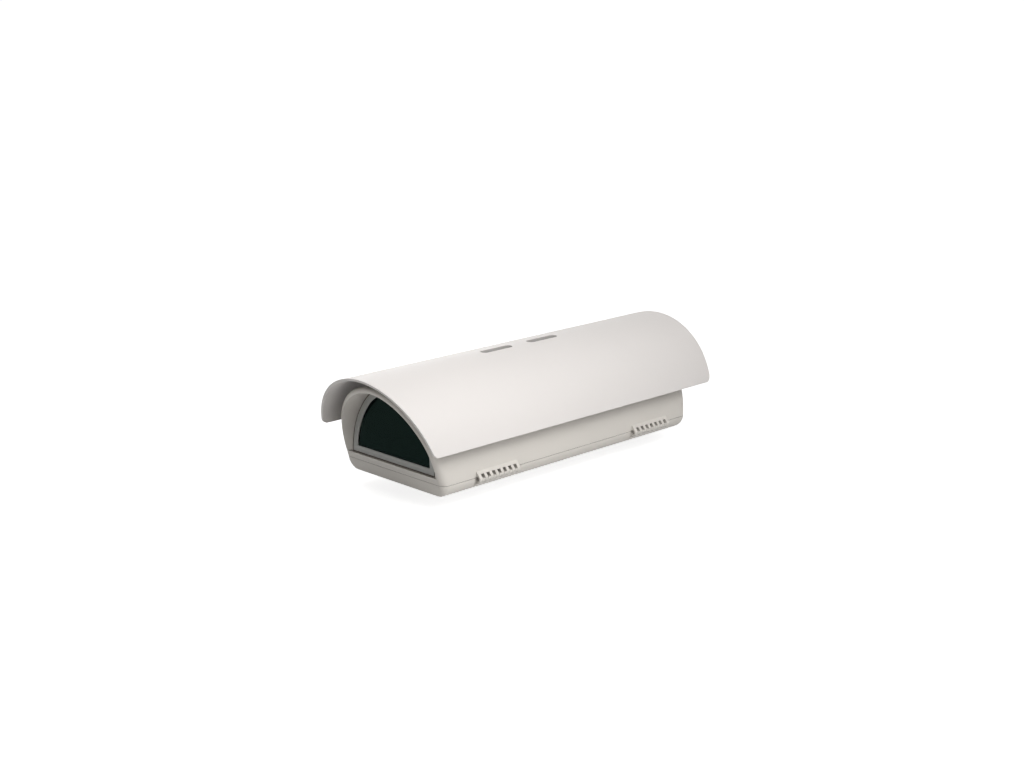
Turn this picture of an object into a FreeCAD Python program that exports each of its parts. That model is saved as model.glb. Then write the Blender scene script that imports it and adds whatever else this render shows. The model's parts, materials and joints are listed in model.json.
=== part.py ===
"""Outdoor security camera housing that opens sideways, with a sliding sunshield.

Frame, in millimetres: +X towards the hinge side, +Y from the window to the rear, +Z up.
The origin is on the underside, at the centre of the four bracket inserts.
Below the seam is the base tray. Above it the cover shell carries the hood, the window,
the hinge knuckles and, on a rail along its crest, the sunshield.
"""

import FreeCAD, Part
import math
import os

V = FreeCAD.Vector

# Body: one outer form, split at the seam into the tray and the cover
front_reach = 219.5
rear_reach = 223.6
body_half_width = 82.8
base_height = 16.2
base_corner_radius = 16.0
straight_side = 9.0
arch_height = 95.9
crown_radius = 70.0
wall = 3.0
rake_angle = 20.5
rear_draft = 3.5
rear_edge_radius = 15.0
front_corner_radius = 9.0
front_edge_radius = 3.5
seam_gap = 0.4

# Seal rim round the seam
rim_width = 9.5
rim_height = 5.0
groove_inset = 4.6
groove_width = 3.2
groove_depth = 3.0
seal_clearance = 0.1
least_corner = 1.5

# Drip groove across the underside, in front of the cable glands
drip_groove_width = 2.0
drip_groove_depth = 1.0
drip_groove_margin = 5.0

# Window and hood
window_bottom = 33.4
window_side_margin = 22.3
window_crown_margin = 14.0
window_crown_step = 6.5
window_setback = 4.7
glass_thickness = 4.0
glass_overlap = 3.0
frame_width = 7.2
frame_lip = 1.3
frame_clearance = 0.3
window_seal_thickness = 1.5
window_seal_edge = 1.5
bulkhead_thickness = 4.0
hood_lip_width = 8.0
hood_lip_crown = 6.3
window_screw_radius = 1.25
window_screw_head_radius = 2.4
window_screw_head_height = 1.8
window_screw_bite = 3.5
window_screw_side_turn = 18.0
window_screw_crown_turn = 48.0

# Moulded hinges
hinge_axis_out = 1.7
hinge_axis_drop = 1.3
hinge_centres = (-138.8, 141.2)
barrel_radius = 4.5
barrel_relief = 0.6
end_knuckle = 5.0
knuckle = 4.5
base_knuckles = 7
knuckle_gap = 0.3
notch_rise = 4.3
notch_depth = 3.0
cover_web_rise = 8.0
base_web_drop = 11.5
web_sink = 0.2
pin_radius = 2.0
pin_clearance = 0.05
pin_recess = 2.5
pin_mouth_radius = 2.8
pin_chamfer = 0.4

# Sunshield
shield_radius = 98.0
shield_rise = 12.9
shield_lower_edge = 58.3
shield_thickness = 3.0
shield_front = -250.7
shield_rear = 250.8
shield_rear_slope = 3.1
shield_corner_radius = 11.0
slot_centres = (-56.9, 24.4)
pocket_length = 52.0
pocket_width = 10.6
pocket_depth = 8.0
pocket_floor = 2.5
pocket_wall = 2.2
slide_gap = 0.3
washer_gap = 0.05
washer_thickness = 1.0
washer_clearance = 0.3
end_clearance = 1.0

# Crest rail and the sunshield's screws
rail_width = 24.0
rail_end_margin = 20.0
shield_screw_radius = 2.5
shield_head_radius = 4.4
shield_head_height = 3.4
shield_head_chamfer = 0.8
shield_screw_bite = 8.0
insert_wall = 1.2
insert_length = 8.0
insert_cover = 3.0
thread_clearance = 0.05
press_clearance = 0.02
screw_tip_chamfer = 0.6

# Closing screws on the opening side, held captive in the tray
closing_screw_ys = (-170.0, 0.0, 160.0)
closing_screw_inset = 13.5
closing_column_radius = 6.0
closing_boss_radius = 5.0
closing_boss_top = 30.0
closing_head_radius = 3.5
closing_head_height = 4.0
closing_head_clearance = 0.8
closing_socket = 3.0
closing_insert_depth = 0.5
closing_seat = 5.0
closing_neck_radius = 1.6
closing_thread_radius = 2.0
closing_thread_length = 6.5
closing_thread_clearance = 0.3
ring_thickness = 1.0
ring_seat = 2.0
ring_radius = 3.8
closing_drop = 10.0

# Bracket inserts, which fix the housing to its bracket
bracket_spacing_x = 60.0
bracket_spacing_y = 80.0
bracket_thread_radius = 3.0
bracket_insert_length = 10.0
bracket_boss_radius = 7.0

# Camera plate, on two rails in the tray
plate_half_width = 30.0
plate_half_length = 140.0
plate_thickness = 2.0
plate_height = 14.0
plate_travel = 30.0
plate_rail_x = 20.0
plate_rail_width = 4.0
lock_screw_y = 95.0
lock_screw_radius = 2.0
lock_head_radius = 5.0
lock_head_height = 4.0
lock_washer_radius = 6.0
lock_boss_radius = 5.0
lock_screw_bite = 7.0
camera_screw_radius = 3.15
camera_head_radius = 6.5
camera_head_height = 4.5
camera_screw_reach = 6.0
camera_screw_travel = 30.0
camera_screw_slit = 1.6
camera_screw_slit_depth = 1.2
pad_half_width = 20.0
pad_half_length = 25.0
pad_thickness = 2.5
pad_corner = 3.0
plate_corner = 5.0
lock_screw_slit = 1.0
slot_clearance = 0.3
lift_clearance = 0.05

# Heater under the window
heater_gap = 13.1
heater_half_length = 48.0
heater_half_depth = 12.0
heater_plate = 3.0
heater_fins = 9
heater_fin_pitch = 8.0
heater_fin_thickness = 2.0
heater_fin_height = 14.0
heater_pad_height = 2.0
heater_pad_half_width = 6.0
heater_screw_x = 42.0
heat_switch_radius = 7.0
heat_switch_height = 5.0
switch_tab_x = 3.5
switch_tab_width = 3.0
switch_tab_thickness = 0.8
switch_tab_height = 4.0

# Terminal board
board_side_margin = 6.3
board_y = 148.0
board_half_width = 16.0
board_half_length = 36.0
board_thickness = 1.6
board_pillar_height = 6.0
board_pillar_radius = 3.0
board_hole_inset = 4.0
block_ways = 7
block_pitch = 7.5
block_width = 11.0
block_height = 10.0
wire_hole = 4.0
wire_hole_rise = 1.5
clamp_hole = 4.0
clamp_hole_depth = 2.5
small_screw_radius = 1.5
small_head_radius = 2.8
small_head_height = 2.0
small_screw_bite = 4.5

# Earth terminal
earth_x = -42.0
earth_y = 128.0
earth_boss_radius = 4.0
earth_boss_height = 6.0

# Cable glands on the underside
glands = 3
gland_pitch = 26.0
gland_side_margin = 32.8
gland_rear_margin = 38.6
gland_across_flats = 21.0
gland_thread_radius = 7.75
gland_bore_radius = 5.0
gland_flange = 5.0
gland_neck = 6.0
gland_stub = 6.0
gland_locknut_height = 4.0
gland_nut_taper = 6.0
gland_nut_tip_radius = 8.2
gland_nut_floor = 1.5
gland_seal_radius = 6.6
gland_seal_length = 5.0
gland_seal_bore_radius = 4.0
gland_gap = 0.3

# Derived places
front_y = -front_reach
rear_y = rear_reach
half_turn = 180.0
rake = math.tan(math.radians(rake_angle))
draft = math.tan(math.radians(rear_draft))
seam = base_height
tray_top = seam - seam_gap / 2
cover_bottom = seam + seam_gap / 2
spring_z = base_height + straight_side
crest_z = spring_z + arch_height
crown_z = crest_z - crown_radius
window_half_width = body_half_width - window_side_margin
window_arch_height = crest_z - window_crown_margin - window_bottom
window_crown_radius = window_half_width - window_crown_step
frame_bottom = window_bottom - frame_width
window_y = front_y - frame_bottom * rake + window_setback
glass_back = window_y + glass_thickness
bulkhead_front = glass_back + window_seal_thickness
bulkhead_back = bulkhead_front + bulkhead_thickness
hinge_x = body_half_width + hinge_axis_out
hinge_z = seam - hinge_axis_drop
hinge_length = 2 * end_knuckle + (2 * base_knuckles - 1) * knuckle
shield_crest = crest_z + shield_rise
shield_centre_z = shield_crest - shield_radius
pocket_floor_top = shield_crest - pocket_depth
rail_top = pocket_floor_top - pocket_floor - slide_gap
washer_bottom = pocket_floor_top + washer_gap
rail_thread_radius = shield_screw_radius + thread_clearance
heater_y = bulkhead_back + heater_gap + heater_half_depth
board_x = body_half_width - rim_width - board_side_margin - board_half_width
gland_xs = tuple(gland_side_margin - body_half_width + k * gland_pitch for k in range(glands))
gland_y = rear_y - gland_rear_margin
drip_groove_y = gland_y - gland_across_flats / 2 - drip_groove_margin
closing_x = -(body_half_width - closing_screw_inset)
closing_bore_radius = closing_thread_radius + closing_thread_clearance
ring_bottom = closing_seat + ring_seat
closing_shoulder = ring_bottom + ring_thickness + closing_drop
far = 400.0


def front_face(z):
    """The y of the raked front face at height z."""
    return front_y - z * rake


def rear_face(z):
    """The y of the rear face at height z."""
    return rear_y - z * draft


def box(x0, x1, y0, y1, z0, z1):
    return Part.makeBox(x1 - x0, y1 - y0, z1 - z0, V(x0, y0, z0))


def rod(radius, x, y, z0, z1):
    """An upright cylinder."""
    return Part.makeCylinder(radius, z1 - z0, V(x, y, z0))


def rod_y(radius, x, z, y0, y1):
    """A cylinder along Y."""
    return Part.makeCylinder(radius, y1 - y0, V(x, y0, z), V(0, 1, 0))


def tube(outer, inner, x, y, z0, z1):
    return rod(outer, x, y, z0, z1).cut(rod(inner, x, y, z0, z1))


def hexagon(across_flats, x, y, z0, z1):
    """An upright hexagonal prism with two flats facing along Y."""
    corner = across_flats / math.sqrt(3)
    turns = [math.radians(60 * k) for k in range(7)]
    points = [V(x + corner * math.cos(t), y + corner * math.sin(t), z0) for t in turns]
    return Part.Face(Part.makePolygon(points)).extrude(V(0, 0, z1 - z0))


def slot(x, y, length, width, z0, z1):
    """An upright prism along Y with round ends, length end to end."""
    reach = (length - width) / 2
    middle = box(x - width / 2, x + width / 2, y - reach, y + reach, z0, z1)
    return fuse([middle, rod(width / 2, x, y - reach, z0, z1), rod(width / 2, x, y + reach, z0, z1)])


def fuse(shapes):
    """One solid from overlapping shapes, with no leftover edges."""
    first, rest = shapes[0], shapes[1:]
    return first.multiFuse(rest).removeSplitter() if rest else first


def prism_y(edges, y0, y1):
    """Extrudes a closed outline drawn in the plane y = 0 from y0 to y1."""
    face = Part.Face(Part.Wire(Part.__sortEdges__(edges)))
    face.translate(V(0, y0, 0))
    return face.extrude(V(0, y1 - y0, 0))


def prism_x(points, half_width):
    """Extrudes a polygon of (y, z) points across the body, to both sides of x = 0."""
    outline = [V(-half_width, y, z) for y, z in points]
    return Part.Face(Part.makePolygon(outline + outline[:1])).extrude(V(2 * half_width, 0, 0))


def line(a, b):
    return Part.LineSegment(V(a[0], 0, a[1]), V(b[0], 0, b[1])).toShape()


def arc(centre, radius, start, end):
    """A circular edge in the plane y = 0, angles in degrees from +X towards +Z."""
    angles = [math.radians(a) for a in (start, (start + end) / 2, end)]
    points = [V(centre[0] + radius * math.cos(a), 0, centre[1] + radius * math.sin(a)) for a in angles]
    return Part.Arc(*points).toShape()


def side_radius(half_width, height, crown):
    """The side arcs' radius in a three-centred arch, so that they run smoothly into its crown."""
    return (half_width**2 + height**2 - 2 * height * crown) / (2 * (half_width - crown))


def arch_edges(half_width, spring, height, crown, floor):
    """A three-centred arch with its straight legs and floor line."""
    side = side_radius(half_width, height, crown)
    turn = math.degrees(math.atan2(height - crown, side - half_width))
    edges = [
        arc((half_width - side, spring), side, 0, turn),
        arc((0, spring + height - crown), crown, turn, half_turn - turn),
        arc((side - half_width, spring), side, half_turn - turn, half_turn),
        line((-half_width, floor), (half_width, floor)),
    ]
    if spring - floor > 1e-6:
        edges += [line((x, spring), (x, floor)) for x in (-half_width, half_width)]
    return edges


def body_section(inset):
    """The body's cross section, drawn in by the inset all round."""
    half = body_half_width - inset
    corner = base_corner_radius - inset
    arch = arch_edges(half, spring_z, arch_height - inset, crown_radius - inset, spring_z)
    centre_x = body_half_width - base_corner_radius
    return arch[:3] + [
        line((-half, spring_z), (-half, base_corner_radius)),
        arc((-centre_x, base_corner_radius), corner, half_turn, 270),
        line((-centre_x, inset), (centre_x, inset)),
        arc((centre_x, base_corner_radius), corner, 270, 360),
        line((half, base_corner_radius), (half, spring_z)),
    ]


def body_solid(inset):
    """The body as one block between its raked front and its rear face."""
    front_shift = inset / math.cos(math.radians(rake_angle))
    rear_shift = inset / math.cos(math.radians(rear_draft))
    side_view = [
        (front_face(-far) + front_shift, -far),
        (rear_face(-far) - rear_shift, -far),
        (rear_face(far) - rear_shift, far),
        (front_face(far) + front_shift, far),
    ]
    block = prism_y(body_section(inset), -far, far)
    return block.common(prism_x(side_view, far))


def edges_on(solid, face_y):
    """The edges of a solid that lie on the slanted face given by face_y(z)."""
    found = []
    for edge in solid.Edges:
        points = edge.discretize(3)
        if all(abs(p.y - face_y(p.z)) < 1e-3 for p in points):
            found.append(edge)
    return found


def front_radius(z):
    """The front edge's radius where two of its edges meet: full at the sides, slim above and below."""
    on_the_side = base_corner_radius / 2 < z < (spring_z + crest_z) / 2
    return front_corner_radius if on_the_side else front_edge_radius


def outer_body():
    """The body's outside, with a round rear edge and a front edge that fills out at the sides."""
    block = body_solid(0)
    block = block.makeFillet(rear_edge_radius, edges_on(block, rear_face))
    document = FreeCAD.newDocument("body")
    sharp = document.addObject("Part::Feature", "sharp")
    sharp.Shape = block
    rounded = document.addObject("Part::Fillet", "rounded")
    rounded.Base = sharp
    radii = []
    for edge in edges_on(block, front_face):
        number = [other.isSame(edge) for other in block.Edges].index(True) + 1
        ends = [edge.valueAt(edge.FirstParameter), edge.valueAt(edge.LastParameter)]
        radii.append((number, *(front_radius(end.z) for end in ends)))
    rounded.Edges = radii
    document.recompute()
    body = rounded.Shape.copy()
    FreeCAD.closeDocument(document.Name)
    return body


def window_outline(grow):
    """The window opening's D shape, grown all round."""
    return arch_edges(
        window_half_width + grow,
        window_bottom,
        window_arch_height + grow,
        window_crown_radius + grow,
        window_bottom - grow,
    )


def window_prism(grow, y0, y1):
    return prism_y(window_outline(grow), y0, y1)


def window_screw_places():
    """Screws into the frame: at its lower corners, along both sides and at the crown."""
    grow = (glass_overlap + frame_clearance + frame_width) / 2
    reach = window_half_width + grow
    height = window_arch_height + grow
    crown = window_crown_radius + grow
    side = side_radius(reach, height, crown)
    side_turn, crown_turn = (math.radians(t) for t in (window_screw_side_turn, window_screw_crown_turn))
    crown_centre = window_bottom + height - crown
    places = [(0.0, window_bottom + height)]
    for sign in (-1, 1):
        side_x = reach - side + side * math.cos(side_turn)
        places += [
            (sign * reach, window_bottom - grow),
            (sign * side_x, window_bottom + side * math.sin(side_turn)),
            (sign * crown * math.cos(crown_turn), crown_centre + crown * math.sin(crown_turn)),
        ]
    return places


def hood_tunnel():
    """The funnel from the hood's lip back to the frame, and the straight recess for the seal."""
    grow = frame_width + window_seal_edge
    floor = window_bottom - grow
    lip = arch_edges(
        body_half_width - hood_lip_width,
        window_bottom,
        crest_z - hood_lip_crown - window_bottom,
        crown_radius - hood_lip_crown,
        floor,
    )
    lip_wire = Part.Wire(Part.__sortEdges__(lip))
    shear = FreeCAD.Matrix()
    shear.A23 = -rake
    shear.A24 = front_y
    lip_wire = lip_wire.transformGeometry(shear)
    seat_wire = Part.Wire(Part.__sortEdges__(window_outline(grow)))
    frame_front = window_y - frame_lip
    seat_wire.translate(V(0, frame_front, 0))
    funnel = Part.makeLoft([lip_wire, seat_wire], True, True)
    return [funnel, window_prism(grow, frame_front, bulkhead_front)]


def plan_block(inset, z0, z1):
    """A block with the seam's plan outline, drawn in by the inset."""
    half = body_half_width - inset
    y0 = front_face(seam) + inset
    y1 = rear_face(seam) - inset
    block = box(-half, half, y0, y1, z0, z1)
    for y, radius in ((y1, rear_edge_radius), (y0, front_corner_radius)):
        on_face = [e for e in block.Edges if all(abs(v.Point.y - y) < 1e-3 for v in e.Vertexes)]
        corners = [e for e in on_face if abs(e.tangentAt(e.FirstParameter).z) > 0.99]
        block = block.makeFillet(max(radius - inset, least_corner), corners)
    return block


def hinge_start(centre):
    return centre - hinge_length / 2


def base_knuckle_spans(centre):
    start = hinge_start(centre) + end_knuckle
    return [(start + 2 * k * knuckle, start + (2 * k + 1) * knuckle) for k in range(base_knuckles)]


def cover_knuckle_spans(centre):
    start = hinge_start(centre)
    inner = base_knuckle_spans(centre)
    spans = [(start, start + end_knuckle)]
    spans += [(a[1], b[0]) for a, b in zip(inner, inner[1:])]
    return spans + [(start + hinge_length - end_knuckle, start + hinge_length)]


def tangent_point(point, outer_side):
    """Where a line from the point touches the barrel, on its outer side."""
    dx, dz = point[0] - hinge_x, point[1] - hinge_z
    turn = math.acos(barrel_radius / math.hypot(dx, dz))
    angle = math.atan2(dz, dx) - outer_side * turn
    return (hinge_x + barrel_radius * math.cos(angle), hinge_z + barrel_radius * math.sin(angle))


def hinge_web(centre, wall_point, outer_side):
    """The web all along one hinge, from the wall out to a line that touches its barrel."""
    touch = tangent_point(wall_point, outer_side)
    root = body_half_width - wall / 2
    level = seam + outer_side * seam_gap / 2
    points = [wall_point, touch, (hinge_x, level), (root, level), (wall_point[0] - wall, wall_point[1])]
    outline = [line(a, b) for a, b in zip(points, points[1:] + points[:1])]
    start = hinge_start(centre)
    return prism_y(outline, start + knuckle_gap / 2, start + hinge_length - knuckle_gap / 2)


def hinge_half(centre, own_spans, other_spans, wall_point, outer_side):
    """One half's web with its own barrels, hollowed out where the other half's barrels turn."""
    web = hinge_web(centre, wall_point, outer_side).cut(reliefs(other_spans))
    inset = knuckle_gap / 2
    return [web] + [rod_y(barrel_radius, hinge_x, hinge_z, y0 + inset, y1 - inset) for y0, y1 in own_spans]


def reliefs(spans):
    """Room for the other half's barrels."""
    radius = barrel_radius + barrel_relief
    return [rod_y(radius, hinge_x, hinge_z, y0 - knuckle_gap / 2, y1 + knuckle_gap / 2) for y0, y1 in spans]


def notches(spans):
    """Windows in the cover over the tray's knuckles, deep enough to show dark."""
    x0, x1 = body_half_width - notch_depth, hinge_x + barrel_radius + 1
    gap = knuckle_gap / 2
    return [box(x0, x1, y0 - gap, y1 + gap, 0, seam + notch_rise) for y0, y1 in spans]


def pin_bores():
    """The pins' bores, each with a wider mouth at its ends."""
    bores = []
    for centre in hinge_centres:
        y0 = hinge_start(centre)
        y1 = y0 + hinge_length
        bores.append(rod_y(pin_radius + pin_clearance, hinge_x, hinge_z, y0 - 1, y1 + 1))
        bores.append(rod_y(pin_mouth_radius, hinge_x, hinge_z, y0 - 1, y0 + pin_recess))
        bores.append(rod_y(pin_mouth_radius, hinge_x, hinge_z, y1 - pin_recess, y1 + 1))
    return bores


def hinge_pin(centre):
    y0 = hinge_start(centre) + pin_recess
    pin = rod_y(pin_radius, hinge_x, hinge_z, y0, y0 + hinge_length - 2 * pin_recess)
    return pin.makeChamfer(pin_chamfer, [e for e in pin.Edges if len(e.Vertexes) == 1])


def bracket_places():
    return [
        (sx * bracket_spacing_x / 2, sy * bracket_spacing_y / 2) for sx in (-1, 1) for sy in (-1, 1)
    ]


def board_places():
    half_x = board_half_width - board_hole_inset
    half_y = board_half_length - board_hole_inset
    return [(board_x + sx * half_x, board_y + sy * half_y) for sx in (-1, 1) for sy in (-1, 1)]


def insert_seat(thread_radius):
    """The radius of the hole that a threaded insert is pressed into."""
    return thread_radius + insert_wall + press_clearance


def inner_rear_face(z):
    """The y of the rear wall's inner face at height z."""
    return rear_face(z) - wall / math.cos(math.radians(rear_draft))


def inner_cavity():
    """The room inside the walls, with its rear edge rounded as the outside is."""
    cavity = body_solid(wall)
    return cavity.makeFillet(rear_edge_radius - wall, edges_on(cavity, inner_rear_face))


def drip_groove():
    """Keeps water that runs along the underside away from the cable glands."""
    half = drip_groove_width / 2
    return box(-far, far, drip_groove_y - half, drip_groove_y + half, -1, drip_groove_depth)


def base_tray(outer):
    """The tray, whose hinge knuckles are open above so that the pins snap in."""
    tray = outer.common(box(-far, far, -far, far, -far, tray_top))
    room = plan_block(rim_width, 0, far).common(box(-far, far, bulkhead_back, far, 0, far))
    tray = tray.cut(inner_cavity().common(room))
    inside = box(-far, far, front_y, rear_y, wall - 1, tray_top)

    added = []
    for x, y in bracket_places():
        added.append(rod(bracket_boss_radius, x, y, wall - 1, bracket_insert_length + 2))
    for sign in (-1, 1):
        centre = sign * plate_rail_x
        x0, x1 = centre - plate_rail_width / 2, centre + plate_rail_width / 2
        added.append(box(x0, x1, -plate_half_length, plate_half_length, wall - 1, plate_height))
        added.append(rod(lock_boss_radius, 0, sign * lock_screw_y, wall - 1, plate_height - slide_gap))
        x0, x1 = (sign * heater_screw_x + side * heater_pad_half_width for side in (-1, 1))
        y0, y1 = heater_y - heater_half_depth, heater_y + heater_half_depth
        added.append(box(x0, x1, y0, y1, wall - 1, wall + heater_pad_height))
    for x, y in board_places():
        added.append(rod(board_pillar_radius, x, y, wall - 1, wall + board_pillar_height))
    added.append(rod(earth_boss_radius, earth_x, earth_y, wall - 1, wall + earth_boss_height))
    for y in closing_screw_ys:
        added.append(rod(closing_column_radius, closing_x, y, wall - 1, tray_top))
    added = [shape.common(inside) for shape in added]
    for centre in hinge_centres:
        low = seam - base_web_drop
        lean = base_corner_radius - low
        skin_x = body_half_width - base_corner_radius + math.sqrt(base_corner_radius**2 - lean**2)
        spans = base_knuckle_spans(centre), cover_knuckle_spans(centre)
        added += hinge_half(centre, *spans, (skin_x - web_sink, low), -1)
    tray = fuse([tray] + added)

    inner = groove_inset + groove_width
    groove = plan_block(groove_inset, tray_top - groove_depth, far)
    groove = groove.cut(plan_block(inner, 0, far))
    cuts = [groove, drip_groove()] + pin_bores()
    for centre in hinge_centres:
        cuts += reliefs(cover_knuckle_spans(centre))
        y0 = hinge_start(centre)
        cuts.append(box(body_half_width - wall, far, y0, y0 + hinge_length, tray_top, far))
    for x, y in bracket_places():
        cuts.append(rod(insert_seat(bracket_thread_radius), x, y, -1, bracket_insert_length))
    for sign in (-1, 1):
        top = plate_height
        cuts.append(rod(lock_screw_radius, 0, sign * lock_screw_y, top - lock_screw_bite, top))
        pad_top = heater_bottom()
        tip = pad_top + heater_plate - small_screw_bite
        cuts.append(rod(small_screw_radius, sign * heater_screw_x, heater_y, tip, pad_top))
    for x, y in board_places():
        top = wall + board_pillar_height
        cuts.append(rod(small_screw_radius, x, y, top - small_screw_bite, top))
    top = wall + earth_boss_height
    cuts.append(rod(small_screw_radius, earth_x, earth_y, top - small_screw_bite, top))
    for y in closing_screw_ys:
        cuts.append(rod(closing_head_radius + closing_head_clearance, closing_x, y, -1, closing_seat))
        cuts.append(rod(closing_bore_radius, closing_x, y, 0, far))
        cuts.append(rod(ring_radius + press_clearance, closing_x, y, ring_bottom, far))
    for x in gland_xs:
        cuts.append(rod(gland_thread_radius + gland_gap / 2, x, gland_y, -1, wall + 1))
    return tray.cut(cuts)


def cover_shell(outer):
    shell = outer.common(box(-far, far, -far, far, cover_bottom, far))
    behind_window = box(-far, far, bulkhead_back, far, 0, far)
    room = fuse([plan_block(rim_width, 0, 2 * seam), box(-far, far, -far, far, seam + rim_height, far)])
    shell = shell.cut(inner_cavity().common(room).common(behind_window))

    added = []
    half_rail = (slot_centres[1] - slot_centres[0] + pocket_length) / 2 + rail_end_margin
    middle = (slot_centres[0] + slot_centres[1]) / 2
    rail = slot(0, middle, 2 * half_rail, rail_width, crown_z, rail_top)
    added.append(rail.cut(body_solid(wall / 2)))
    for y in slot_centres:
        radius = insert_seat(rail_thread_radius) + insert_cover
        added.append(rod(radius, 0, y, rail_top - insert_length - insert_cover, rail_top))
    for y in closing_screw_ys:
        added.append(rod(closing_boss_radius, closing_x, y, cover_bottom, closing_boss_top))
        rib = closing_boss_radius / 2
        reach = -body_half_width + wall / 2
        added.append(box(reach, closing_x, y - rib, y + rib, cover_bottom, closing_boss_top))
    for centre in hinge_centres:
        spans = cover_knuckle_spans(centre), base_knuckle_spans(centre)
        added += hinge_half(centre, *spans, (body_half_width - web_sink, seam + cover_web_rise), 1)
    shell = fuse([shell] + added)

    cuts = hood_tunnel() + [window_prism(0, bulkhead_front - 1, bulkhead_back + 1)] + pin_bores()
    for centre in hinge_centres:
        spans = base_knuckle_spans(centre)
        cuts += reliefs(spans) + notches(spans)
    for x, z in window_screw_places():
        radius = window_screw_radius + thread_clearance
        cuts.append(rod_y(radius, x, z, bulkhead_front - 1, bulkhead_back + 1))
    for y in slot_centres:
        cuts.append(rod(insert_seat(rail_thread_radius), 0, y, rail_top - insert_length, rail_top + 1))
    for y in closing_screw_ys:
        seat_top = cover_bottom + closing_insert_depth + insert_length
        cuts.append(rod(insert_seat(closing_bore_radius), closing_x, y, 0, seat_top))
    return shell.cut(cuts)


def sunshield():
    half = math.degrees(math.asin((shield_lower_edge - shield_centre_z) / shield_radius))
    inner_radius = shield_radius - shield_thickness
    centre = (0, shield_centre_z)
    ends = []
    for turn in (half, half_turn - half):
        x, z = math.cos(math.radians(turn)), math.sin(math.radians(turn))
        ends.append(line(*((r * x, shield_centre_z + r * z) for r in (inner_radius, shield_radius))))
    profile = [arc(centre, r, half, half_turn - half) for r in (inner_radius, shield_radius)]
    shell = prism_y(profile + ends, -far, far)
    slope = math.tan(math.radians(shield_rear_slope))
    side_view = [
        (shield_front, shield_lower_edge),
        (shield_rear, shield_lower_edge),
        (shield_rear + (far - shield_lower_edge) * slope, far),
        (shield_front - (far - shield_lower_edge) * rake, far),
    ]
    sides = prism_x([(y, z if z == far else z - 1) for y, z in side_view], far)
    low_edges = [
        e for e in sides.Edges if abs(e.Length - 2 * far) < 1e-3 and e.Vertexes[0].Point.z < far - 1
    ]
    shell = shell.common(sides.makeFillet(shield_corner_radius, low_edges))

    cups, cuts = [], []
    for y in slot_centres:
        low = pocket_floor_top - pocket_floor
        high = shield_crest - shield_thickness / 2
        around = 2 * pocket_wall
        cups.append(slot(0, y, pocket_length + around, pocket_width + around, low, high))
        cuts.append(slot(0, y, pocket_length, pocket_width, pocket_floor_top, far))
        through = 2 * (shield_screw_radius + slot_clearance)
        cuts.append(slot(0, y, 2 * shield_travel() + through, through, low - 1, far))
    return fuse([shell] + cups).cut(cuts)


def shield_travel():
    """How far the sunshield slides to each side before a washer meets its pocket's end."""
    return pocket_length / 2 - washer_radius() - end_clearance


def washer_radius():
    return pocket_width / 2 - washer_clearance


def window_glass():
    return window_prism(glass_overlap, window_y, glass_back)


def window_frame():
    front = window_y - frame_lip
    ring = window_prism(frame_width, front, glass_back)
    ring = ring.cut(window_prism(0, front - 1, glass_back + 1))
    ring = ring.cut(window_prism(glass_overlap + frame_clearance, window_y, glass_back + 1))
    for x, z in window_screw_places():
        ring = ring.cut(rod_y(window_screw_radius, x, z, glass_back - window_screw_bite, glass_back + 1))
    return ring


def window_gasket():
    """Flat behind the glass and the frame, with an edge that stands round the frame."""
    flat = window_prism(frame_width + window_seal_edge, glass_back, bulkhead_front)
    edge = window_prism(frame_width + window_seal_edge, window_y - frame_lip / 2, glass_back)
    edge = edge.cut(window_prism(frame_width, window_y - 2 * frame_lip, glass_back))
    gasket = fuse([flat, edge]).cut(window_prism(0, window_y - 5, bulkhead_front + 5))
    for x, z in window_screw_places():
        radius = window_screw_radius + thread_clearance
        gasket = gasket.cut(rod_y(radius, x, z, glass_back - 1, bulkhead_front + 1))
    return gasket


def window_screws():
    screws = []
    for x, z in window_screw_places():
        tip = glass_back - window_screw_bite
        shank = rod_y(window_screw_radius, x, z, tip, bulkhead_back)
        head = rod_y(window_screw_head_radius, x, z, bulkhead_back, bulkhead_back + window_screw_head_height)
        screws.append(fuse([shank, head]))
    return Part.Compound(screws)


def body_gasket():
    low, high = tray_top - groove_depth, cover_bottom - seal_clearance
    ring = plan_block(groove_inset + seal_clearance, low, high)
    return ring.cut(plan_block(groove_inset + groove_width - seal_clearance, 0, far))


def inserts(places, thread_radius, z0, z1):
    outside = thread_radius + insert_wall
    return Part.Compound([tube(outside, thread_radius, x, y, z0, z1) for x, y in places])


def bracket_inserts():
    return inserts(bracket_places(), bracket_thread_radius, 0, bracket_insert_length)


def rail_inserts():
    places = [(0, y) for y in slot_centres]
    return inserts(places, rail_thread_radius, rail_top - insert_length, rail_top)


def closing_inserts():
    places = [(closing_x, y) for y in closing_screw_ys]
    low = cover_bottom + closing_insert_depth
    return inserts(places, closing_bore_radius, low, low + insert_length)


def shield_washers():
    low, top = washer_bottom, washer_bottom + washer_thickness
    rings = [tube(washer_radius(), rail_thread_radius, 0, y, low, top) for y in slot_centres]
    return Part.Compound(rings)


def shield_screws():
    seat = washer_bottom + washer_thickness
    screws = []
    for y in slot_centres:
        head = rod(shield_head_radius, 0, y, seat, seat + shield_head_height)
        rim = [e for e in head.Edges if len(e.Vertexes) == 1 and e.Vertexes[0].Point.z > seat + 1]
        head = head.makeChamfer(shield_head_chamfer, rim)
        shank = rod(shield_screw_radius, 0, y, rail_top - shield_screw_bite + 1, seat)
        screws.append(fuse([head, shank]))
    return Part.Compound(screws)


def captive_rings():
    top = ring_bottom + ring_thickness
    hole = closing_neck_radius + thread_clearance
    rings = [tube(ring_radius, hole, closing_x, y, ring_bottom, top) for y in closing_screw_ys]
    return Part.Compound(rings)


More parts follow.
